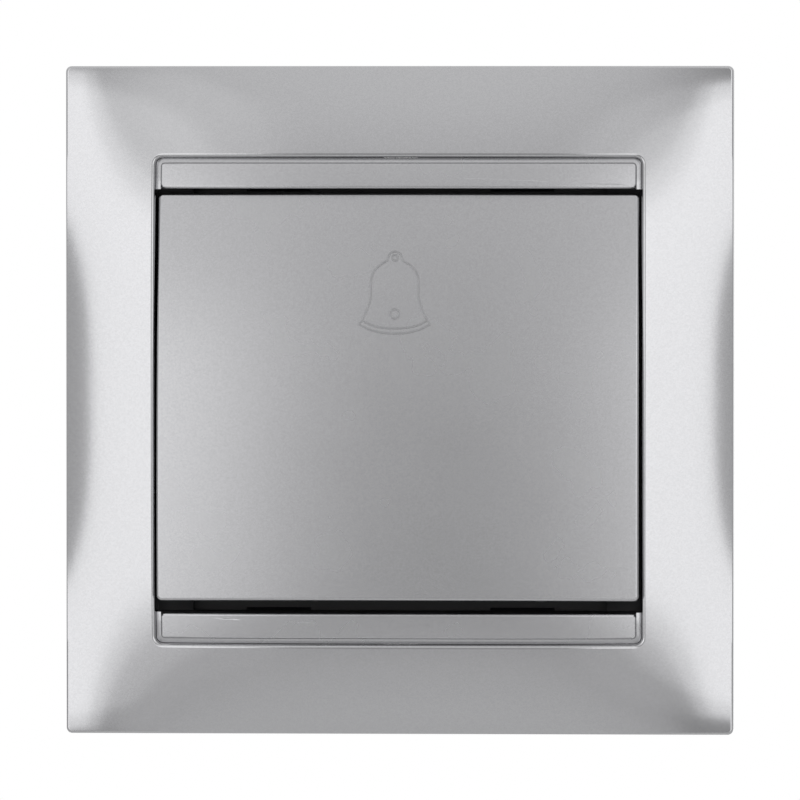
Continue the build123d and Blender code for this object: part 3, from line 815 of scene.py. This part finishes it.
def upright_cylinder(bm, x, radius, low, high):
    """A cylinder on the level line, between two heights."""
    stand = Matrix.Translation((x, 0, (low + high) / 2))
    bmesh.ops.create_cone(bm, cap_ends=True, segments=CYLINDER_SIDES, radius1=radius, radius2=radius,
                          depth=high - low, matrix=stand)


def screw_cap():
    """A hollow half round cap over a screw head, cut off at the surround's outer side."""
    bm = bmesh.new()
    upright_cylinder(bm, SCREW_AT, CAP_RADIUS, CAP_FOOT, CAP_TOP)
    everything = bm.verts[:] + bm.edges[:] + bm.faces[:]
    cut = bmesh.ops.bisect_plane(bm, geom=everything, plane_co=(CAP_REACH, 0, 0), plane_no=(1, 0, 0),
                                 clear_outer=True)["geom_cut"]
    bmesh.ops.contextual_create(bm, geom=[item for item in cut if isinstance(item, bmesh.types.BMEdge)])
    room = bmesh.new()
    upright_cylinder(room, SCREW_AT, HEAD_ROOM_RADIUS, 0, CAP_TOP - CAP_ROOF)
    return carved(to_mesh(bm, "screw_cap"), to_mesh(room, "screw_room"))


def add_cap(bm, mesh, side):
    """Join a screw cap and its tongue to a bmesh, for side 1 on the right and for -1 on the left."""
    before = set(bm.verts)
    bm.from_mesh(mesh)
    fresh = [vert for vert in bm.verts if vert not in before]
    bmesh.ops.scale(bm, vec=(side, 1, 1), verts=fresh)
    upright_cylinder(bm, side * SCREW_AT, TONGUE_RADIUS, CAP_TOP - CAP_ROOF, TONGUE_TOP)


def add_collars(bm):
    """Thin collars on the strap round the four snap hooks."""
    for x in (-SNAP_AT[0], SNAP_AT[0]):
        for y in (-SNAP_AT[1], SNAP_AT[1]):
            stand = Matrix.Translation((x, y, COLLAR_LEVEL)) @ Matrix.Diagonal((*COLLAR_SIZE, 1))
            bmesh.ops.create_cube(bm, size=1.0, matrix=stand)


cap_mesh = screw_cap()
print("cap faces", len(cap_mesh.polygons))

# %% [markdown]
# ## Key surround
# The merged surround is turned into the wall's own millimetres. Its two bars lose their faceted
# tops and get smooth ones, and the caps and collars are joined to it. The bars get the satin
# lacquer, and every face that reaches below a set height is drawn black as painted shade, so the
# gaps round the key stay dark.

# %% Key surround
BAR_SINK = 0.35
BAR_HALF = 29.15
BAR_INNER = 26.0
BAR_CORNER = 0.5
BAR_ROUND = 0.3
RAIL_EDGE = 0.02
# Below this height the surround is drawn black, as painted shade in the gaps round the key.
PAINTED_SHADE_LEVEL = 5.0


def bar_height(x, y):
    """Height of the bars, a little below the frame's crown."""
    return face_height(x, y) - BAR_SINK


bm = with_memory(merged("key_surround", FINE_FLAT_ANGLE))
bm.transform(wall_place.inverted())
strip_crown(bm, bar_height)
soften(bm, RAIL_EDGE)
bar_half = (BAR_HALF, (BAR_HALF - BAR_INNER) / 2)
for side in (-1, 1):
    bar_middle = Vector((0, side * (BAR_HALF + BAR_INNER) / 2, 0))
    lay_crown(bm, bar_half, BAR_CORNER, bar_middle, bar_height, BAR_ROUND)
    add_cap(bm, cap_mesh, side)
add_collars(bm)
# Faces reaching below the height get the black nylon as painted shade; the rest keep the satin lacquer.
for face in bm.faces:
    face.material_index = int(min(vert.co.z for vert in face.verts) < PAINTED_SHADE_LEVEL)
surround = crowned(bm, "key_surround_soft", satin_lacquer, wall_place, bar_height)
surround.data.materials.append(black_nylon)
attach(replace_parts(surround, "key_surround"), "insert")

# %% [markdown]
# ## Push key
# The key is shaped in its own leaning frame, where its face is a plain dome: highest in the middle,
# and lower towards the sides and the ends. The photograph shows its upper edge a little closer to
# the bar than the solid has it, so the new face reaches out there by a small lip.

# %% Push key
KEY_RISE = 8.4
KEY_SIDE_DROP = 1.2
KEY_END_DROP = 1.8
KEY_CORNER = 0.6
KEY_ROUND = 0.35
KEY_EDGE = 0.08
KEY_LIP = 0.25
key_axes = Matrix((Vector((1, 0, 0)), key_up, key_out)).transposed().to_4x4()
key_place = Matrix.Translation(key_pivot) @ key_axes @ Matrix.Scale(MM, 4)

bm = with_memory(merged("push_key", FINE_FLAT_ANGLE))
bm.transform(key_place.inverted())
key_half = [max(abs(vert.co[axis]) for vert in bm.verts) for axis in (0, 1)]


def key_height(x, y):
    """Height of the key's convex face over its pivot."""
    return KEY_RISE - KEY_SIDE_DROP * (x / key_half[0]) ** 2 - KEY_END_DROP * (y / key_half[1]) ** 2


strip_crown(bm, key_height)
soften(bm, KEY_EDGE)
key_face_half = (key_half[0], key_half[1] + KEY_LIP / 2)
lay_crown(bm, key_face_half, KEY_CORNER, Vector((0, KEY_LIP / 2, 0)), key_height, KEY_ROUND)
key_piece = crowned(bm, "push_key_soft", satin_lacquer, key_place, key_height)
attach(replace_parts(key_piece, "push_key"), "key")
print("key", [round(2 * side, 2) for side in key_half], "mm")

# %% [markdown]
# ## Leaf contact
# The moving contact is a bronze leaf, riveted at its foot, with a silver button near its free
# end. The base holds its foot, and the key's rocker finger carries its end and bends it, so it
# can't be rigid: it is cut across into short lengths, often enough to bend.

# %% Leaf contact
LEAF_STEP_MM = 1.5
BEND_TOP_MM = 6.0
leaf_low, leaf_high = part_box("leaf_contact")
leaf_x = (leaf_low.x + leaf_high.x) / 2
bend_start = Vector((leaf_x, leaf_low.y, BEND_TOP_MM * MM))
bend_end = Vector((leaf_x, leaf_low.y, leaf_low.z))


def bending(node, width, finish):
    """A softened copy that is cut across often enough to bend."""
    bm = soften(merged(node), width * MM)
    level = bend_start.z
    while level > bend_end.z:
        everything = bm.verts[:] + bm.edges[:] + bm.faces[:]
        bmesh.ops.bisect_plane(bm, geom=everything, plane_co=(0, 0, level), plane_no=(0, 0, 1))
        level -= LEAF_STEP_MM * MM
    piece = show(bm, node + "_soft", finish)
    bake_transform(piece)
    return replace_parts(piece, node)


for node, width, finish, slot in (("leaf_contact", 0.05, bronze, "bronze"),
                                  ("leaf_tip", 0.20, contact_silver, "silver_contact")):
    print(node, len(bending(node, width, finish).data.polygons), "faces")

# %% [markdown]
# ## Screws
# The claw screws and the terminal screws are slotted machine screws. A lathe shape is spun from a
# half section: a domed head, a neck and a shank of many short steps. Each point of the shank is
# then drawn in or out by a saw-tooth that climbs one pitch a turn, which cuts the thread without
# a seam, and a bar is taken out of the head for the slot.

# %% Screw helpers
TURN_STEPS = 36
PITCH_STEPS = 6
THREAD_SHARE = 0.55
DOME = 0.22
DOME_SECTION = [(0.55, 0.2), (0.88, 1.0), (1.0, 2.2)]
SEAT_BREAK = 0.08
TIP_BREAK = 0.4
SHANK_EDGE = 6
ON_SHANK = 0.001


def thread_depth(drop, turn, pitch, length):
    """How deep the thread is cut at a point, fading out under the head and at the tip."""
    phase = (drop / pitch + turn / math.tau) % 1
    fade = min(1, drop / pitch, max(0, (length - drop) / pitch))
    return abs(2 * phase - 1) * fade * THREAD_SHARE * pitch


def turned_screw(head_radius, head_height, shank_radius, length, pitch):
    """A threaded screw in millimetres that points down -Z, with its head's seat at zero."""
    bm = bmesh.new()
    dome = head_height * DOME
    section = [(0, head_height)]
    section += [(head_radius * out, head_height - dome * down) for out, down in DOME_SECTION]
    section += [(head_radius, SEAT_BREAK), (head_radius - SEAT_BREAK, 0), (shank_radius, 0),
                (shank_radius, TIP_BREAK - length), (shank_radius - TIP_BREAK, -length), (0, -length)]
    points = [bm.verts.new((x, 0, z)) for x, z in section]
    edges = [bm.edges.new(pair) for pair in zip(points, points[1:])]
    shank = edges[SHANK_EDGE]
    rows = int(shank.calc_length() / pitch * PITCH_STEPS)
    bmesh.ops.subdivide_edges(bm, edges=[shank], cuts=rows)
    bmesh.ops.spin(bm, geom=bm.verts[:] + bm.edges[:], cent=(0, 0, 0), axis=(0, 0, 1), angle=math.tau,
                   steps=TURN_STEPS, use_merge=True, use_duplicate=False)
    bmesh.ops.remove_doubles(bm, verts=bm.verts[:], dist=ON_SHANK)
    for vert in bm.verts:
        radius = vert.co.xy.length
        if vert.co.z < 0 and abs(radius - shank_radius) < ON_SHANK:
            turn = math.atan2(vert.co.y, vert.co.x)
            cut = thread_depth(-vert.co.z, turn, pitch, length - TIP_BREAK)
            vert.co.xy *= (radius - cut) / radius
    bmesh.ops.recalc_face_normals(bm, faces=bm.faces[:])
    return bm


print("thread steps", TURN_STEPS, "a turn")

# %% [markdown]
# ## Screws in their places
# Each screw takes its length and its place from the box of the node that it stands for. The claw
# screws point into the wall, and the terminal screws point down.

# %% Claw and terminal screws
SLOT_WIDTH = 0.8
SLOT_DEPTH = 0.8
CLAW_THREAD = {"head_radius": 2.4, "head_height": 1.6, "shank_radius": 1.5, "pitch": 0.5}
TERMINAL_THREAD = {"head_radius": 2.2, "head_height": 1.9, "shank_radius": 1.25, "pitch": 0.45}
TO_FRONT = Matrix.Rotation(math.pi / 2, 4, "X") @ Matrix.Rotation(math.pi / 2, 4, "Z")


def place_screw(node, thread, turn, body):
    """Make the screw that stands for a node, along the node's own box."""
    low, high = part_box(node)
    reach = turn.to_3x3() @ Vector((0, 0, 1))
    whole = abs((high - low).dot(reach)) / MM
    centre = (low + high) / 2
    length = whole - thread["head_height"]
    seat_at = centre + reach * (whole / 2 - thread["head_height"]) * MM
    where = Matrix.Translation(seat_at) @ turn @ Matrix.Scale(MM, 4)
    bm = turned_screw(length=length, **thread)
    bm.transform(where)
    slot_at = where @ Matrix.Translation((0, 0, thread["head_height"]))
    bar = Matrix.Diagonal((3 * thread["head_radius"], SLOT_WIDTH, 2 * SLOT_DEPTH, 1))
    cutter = bmesh.new()
    bmesh.ops.create_cube(cutter, size=1.0, matrix=slot_at @ bar)
    mesh = carved(to_mesh(bm, node + "_threaded"), to_mesh(cutter, "slot"))
    piece = show(mesh, node + "_threaded", zinc_plate)
    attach(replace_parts(piece, node), body)
    print(node, "length", round(whole, 2), "mm", len(piece.data.polygons), "faces")


for side in ("left", "right"):
    place_screw("claw_screw_" + side, CLAW_THREAD, TO_FRONT, side + "_claw")
    place_screw("terminal_screw_" + side, TERMINAL_THREAD, Matrix.Identity(4), "insert")

# %% [markdown]
# ## Return spring
# The spring is wound from round wire, with a closed turn at each end that lies on itself so that
# it stands square. A ring of wire is spun round the spring's axis while it climbs: slowly for the
# closed turns, faster between them. It rides on the base; in the switch it is squashed as the key
# goes in.

# %% Return spring
WIRE = 0.55 * MM
WIRE_SIDES = 10
CLOSED_PITCH = 1.04 * WIRE
ACTIVE_TURNS = 4
COIL_STEPS = 32
spring_low, spring_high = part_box("return_spring")
spring_middle = (spring_low + spring_high) / 2
coil_radius = (spring_high.x - spring_low.x) / 2 - WIRE / 2
coil_rise = spring_high.y - spring_low.y - WIRE
active_pitch = (coil_rise - 2 * CLOSED_PITCH) / ACTIVE_TURNS

bm = bmesh.new()
wire_at = Vector((spring_middle.x + coil_radius, spring_high.y - WIRE / 2, spring_middle.z))
wire_ring = bmesh.ops.create_circle(bm, segments=WIRE_SIDES, radius=WIRE / 2,
                                    matrix=Matrix.Translation(wire_at))
start_edges = bm.edges[:]
going = wire_ring["verts"] + start_edges
for turns, pitch in ((1, CLOSED_PITCH), (ACTIVE_TURNS, active_pitch), (1, CLOSED_PITCH)):
    steps = COIL_STEPS * turns
    wound = bmesh.ops.spin(bm, geom=going, cent=(spring_middle.x, 0, spring_middle.z), axis=(0, 1, 0),
                           dvec=(0, -pitch / COIL_STEPS, 0), angle=math.tau * turns, steps=steps)
    going = wound["geom_last"]
end_edges = [item for item in going if isinstance(item, bmesh.types.BMEdge)]
bmesh.ops.edgeloop_fill(bm, edges=start_edges)
bmesh.ops.edgeloop_fill(bm, edges=end_edges)
bmesh.ops.remove_doubles(bm, verts=bm.verts[:], dist=WELD)
bmesh.ops.recalc_face_normals(bm, faces=bm.faces[:])
spring = show(bm, "coil_spring", spring_steel)
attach(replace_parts(spring, "return_spring"), "insert")
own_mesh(spring)

# %% [markdown]
# ## Bell sign
# A thin line on the key draws a bell, the plain sign for a bell push. It is hardly raised and is
# lacquered over, so it shows only as a fine line that is a shade darker. Half of the outline is
# written down, in millimetres from the bell's top, and mirrored. Its corners are listed as well,
# because a smooth line through all the points would round them off.

# %% Bell outline
SIGN_AT_X = -0.32
SIGN_TOP = 17.80
LINE_RADIUS = 0.12
LINE_FLATTEN = 0.12
LINE_ROUND = 2
CURVE_STEPS = 8
BELL_SIDE = [(0.62, -0.26), (0.87, -0.87), (1.01, -1.16), (1.64, -1.52), (2.37, -2.19), (2.77, -2.92),
             (2.92, -3.77), (2.92, -5.60), (3.10, -6.33), (3.53, -7.48), (3.99, -8.48), (4.38, -8.94)]
BELL_CORNERS = [(1.01, -1.16), (3.99, -8.48), (4.38, -8.94)]
RIM_LOWER = [(4.38, -8.94), (2.68, -9.69), (0, -10.05)]
RIM_UPPER = [(3.99, -8.48), (2.62, -9.10), (0, -9.42)]
CLAPPER_AT = (0, -7.64)
CLAPPER_RADIUS = 0.56
EYE_AT = (0, -0.75)
EYE_RADIUS = 0.35


def mirrored(half):
    """A half outline that ends on the middle line, and its mirror image, as one run."""
    return [(-x, y) for x, y in half if x] + half[::-1]


def add_line(curve, points):
    """A smooth line through the points, with a break at each corner of the bell."""
    spline = curve.splines.new("BEZIER")
    spline.bezier_points.add(len(points) - 1)
    for bezier, (x, y) in zip(spline.bezier_points, points):
        bezier.co = (x, y, 0)
        kind = "VECTOR" if (abs(x), y) in BELL_CORNERS else "AUTO"
        bezier.handle_left_type = kind
        bezier.handle_right_type = kind


def add_circle(curve, centre, radius):
    """A closed round line."""
    spline = curve.splines.new("BEZIER")
    spline.bezier_points.add(3)
    spline.use_cyclic_u = True
    for quarter, bezier in enumerate(spline.bezier_points):
        turn = math.pi / 2 * quarter
        bezier.co = (centre[0] + radius * math.cos(turn), centre[1] + radius * math.sin(turn), 0)
        bezier.handle_left_type = "AUTO"
        bezier.handle_right_type = "AUTO"


print("bell", 2 * BELL_SIDE[-1][0], "by", -RIM_LOWER[-1][1], "mm")

# %% [markdown]
# ## The sign on the key
# The lines become one curve with a round section. Its mesh is flattened and moved to where the
# photograph shows the bell, and each point is raised by the height of the face under it.

# %% Bell sign
bell_curve = bpy.data.curves.new("bell_line", "CURVE")
bell_curve.dimensions = "3D"
bell_curve.resolution_u = CURVE_STEPS
bell_curve.bevel_depth = LINE_RADIUS
bell_curve.bevel_resolution = LINE_ROUND
bell_curve.use_fill_caps = True
add_line(bell_curve, mirrored(BELL_SIDE[::-1] + [(0, 0)]))
add_line(bell_curve, mirrored(RIM_LOWER))
add_line(bell_curve, mirrored(RIM_UPPER))
add_circle(bell_curve, CLAPPER_AT, CLAPPER_RADIUS)
add_circle(bell_curve, EYE_AT, EYE_RADIUS)
bell_line = add_object("bell_line", bell_curve)
bell_mesh = evaluated_mesh(bell_line)
bpy.data.objects.remove(bell_line)
flatten = Matrix.Diagonal((1, 1, LINE_FLATTEN, 1))
bell_mesh.transform(Matrix.Translation((SIGN_AT_X, SIGN_TOP, 0)) @ flatten)
for vert in bell_mesh.vertices:
    vert.co.z += key_height(vert.co.x, vert.co.y)
bell_mesh.transform(key_place)
bell_mesh.polygons.foreach_set("use_smooth", [True] * len(bell_mesh.polygons))
sign_lacquer = silver_lacquer("silver_lacquer_line", "#A0A0A2", "#A8A8AA", 0.33, 0.0)
bell = show(bell_mesh, "bell_sign", sign_lacquer)
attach(bell, "key")
print("bell line faces", len(bell.data.polygons))

# %% [markdown]
# ## Floor
# A plain pale floor lies a little below the plate, as a table would under a part that is held up
# by its wall box. Near the part it is a matt surface that takes its shadow. Further out it fades
# until it is clear, and the white background shows through it.

# %% Floor
FLOOR_DROP = 0.16
FLOOR_RADIUS = 0.5
FLOOR_SIDES = 96
FLOOR_ROUGHNESS = 0.9
MATT_RADIUS = 0.25
CLEAR_RADIUS = 0.48


def pale_floor():
    """Matt white near the part, and fading out into the background around it."""
    finish, tree, shader, place = new_finish("floor_matt_white")
    feed(tree, shader, {"Base Color": linear("#DADADA"), "Roughness": FLOOR_ROUGHNESS})
    far = add_node(tree, "ShaderNodeVectorMath", {0: place}, operation="LENGTH").outputs["Value"]
    fade = spread(tree, far, 0.0, 1.0, span=(MATT_RADIUS, CLEAR_RADIUS))
    clear = add_node(tree, "ShaderNodeBsdfTransparent").outputs["BSDF"]
    both = add_node(tree, "ShaderNodeMixShader", {0: fade, 1: shader.outputs["BSDF"], 2: clear})
    feed(tree, tree.nodes["Material Output"], {"Surface": both.outputs["Shader"]})
    return finish


bm = bmesh.new()
bmesh.ops.create_circle(bm, cap_ends=True, segments=FLOOR_SIDES, radius=FLOOR_RADIUS)
bmesh.ops.translate(bm, verts=bm.verts[:], vec=(0, 0, cad_low.z - FLOOR_DROP))
floor_mesh = to_mesh(bm, "floor")
floor_mesh.materials.append(pale_floor())
floor = add_object("floor", floor_mesh)
print("floor at", round((cad_low.z - FLOOR_DROP) / MM, 1), "mm")

# %% [markdown]
# ## Light
# The plate was photographed between two soft panels, left and right of the camera. The side
# bands of the crowned frame mirror them, and where the outer edge turns further it looks past them
# into the dimmer room, which draws a dark lens at each side. A panel is brightest in its core and
# lights the wall round it, so each side gets four lamps, one behind the other. Seen from the plate
# a lamp reaches from one angle to another, so its edges follow from those angles and its distance.
# Each part of a side has the angle where it starts, its lower and upper angles and its light.

# %% Soft panels
NEAREST_LAMP = 0.42
LAMP_STEP = 0.02
PANEL_END = {-1: 50.6, 1: 47.2}
WALL_END = 64
SIDE_PARTS = [
    ("core", 12, (-18, 14), 0.36),
    ("panel", 11, (-22, 18), 0.36),
    ("outer", 17, (-30, 36), 0.24),
    ("wall", 10, (-36, 42), 0.16),
]


def soft_lamp(name, distance, across, upright, light_level):
    """An area lamp parallel to the plate, between two angles across and two upright."""
    left, right = sorted(distance * math.tan(math.radians(angle)) for angle in across)
    low, high = (distance * math.tan(math.radians(angle)) for angle in upright)
    light = bpy.data.lights.new(name, "AREA")
    light.shape = "RECTANGLE"
    light.size = right - left
    light.size_y = high - low
    light.energy = light_level * light.size * light.size_y * math.pi
    lamp = add_object(name, light)
    lamp.location = ((left + right) / 2, -distance, (low + high) / 2)
    lamp.rotation_euler = (math.pi / 2, 0, 0)
    lamp.visible_camera = False


for label, side in (("left", -1), ("right", 1)):
    for row, (part, start, upright, light_level) in enumerate(SIDE_PARTS):
        end = WALL_END if part == "wall" else PANEL_END[side]
        across = (side * start, side * end)
        soft_lamp(f"{part}_{label}", NEAREST_LAMP + row * LAMP_STEP, across, upright, light_level)
print("lamps", [light.name for light in bpy.data.lights])

# %% [markdown]
# ## Room and background
# The world is the room: behind the camera it is dim below and pale above. Behind the plate it turns
# white for every ray, so mirrors and the part's back see the same background as the eye, and all
# that the camera sees of it directly is white.

# %% Room and background
ROOM_LOW = 0.44
ROOM_HIGH = 0.90
ROOM_RISE = (-0.1, 0.8)
BACK_RISE = (0.1, 0.4)
BACKGROUND_WHITE = 1.0
world = bpy.data.worlds.new("studio")
bpy.context.scene.world = world
world.use_nodes = True
tree = world.node_tree
way = add_node(tree, "ShaderNodeTexCoord").outputs["Generated"]
axes = add_node(tree, "ShaderNodeSeparateXYZ", {"Vector": way}).outputs
room = spread(tree, axes["Z"], ROOM_LOW, ROOM_HIGH, ROOM_RISE, interpolation_type="SMOOTHSTEP")
around = spread(tree, axes["Y"], room, BACKGROUND_WHITE, BACK_RISE)
camera_ray = add_node(tree, "ShaderNodeLightPath").outputs["Is Camera Ray"]
level = add_node(tree, "ShaderNodeMath", {0: around, 1: camera_ray}, operation="MAXIMUM").outputs[0]
feed(tree, tree.nodes["Background"], {"Color": linear("#FFFFFF"), "Strength": level})
print("room", ROOM_LOW, "to", ROOM_HIGH, "background", BACKGROUND_WHITE)
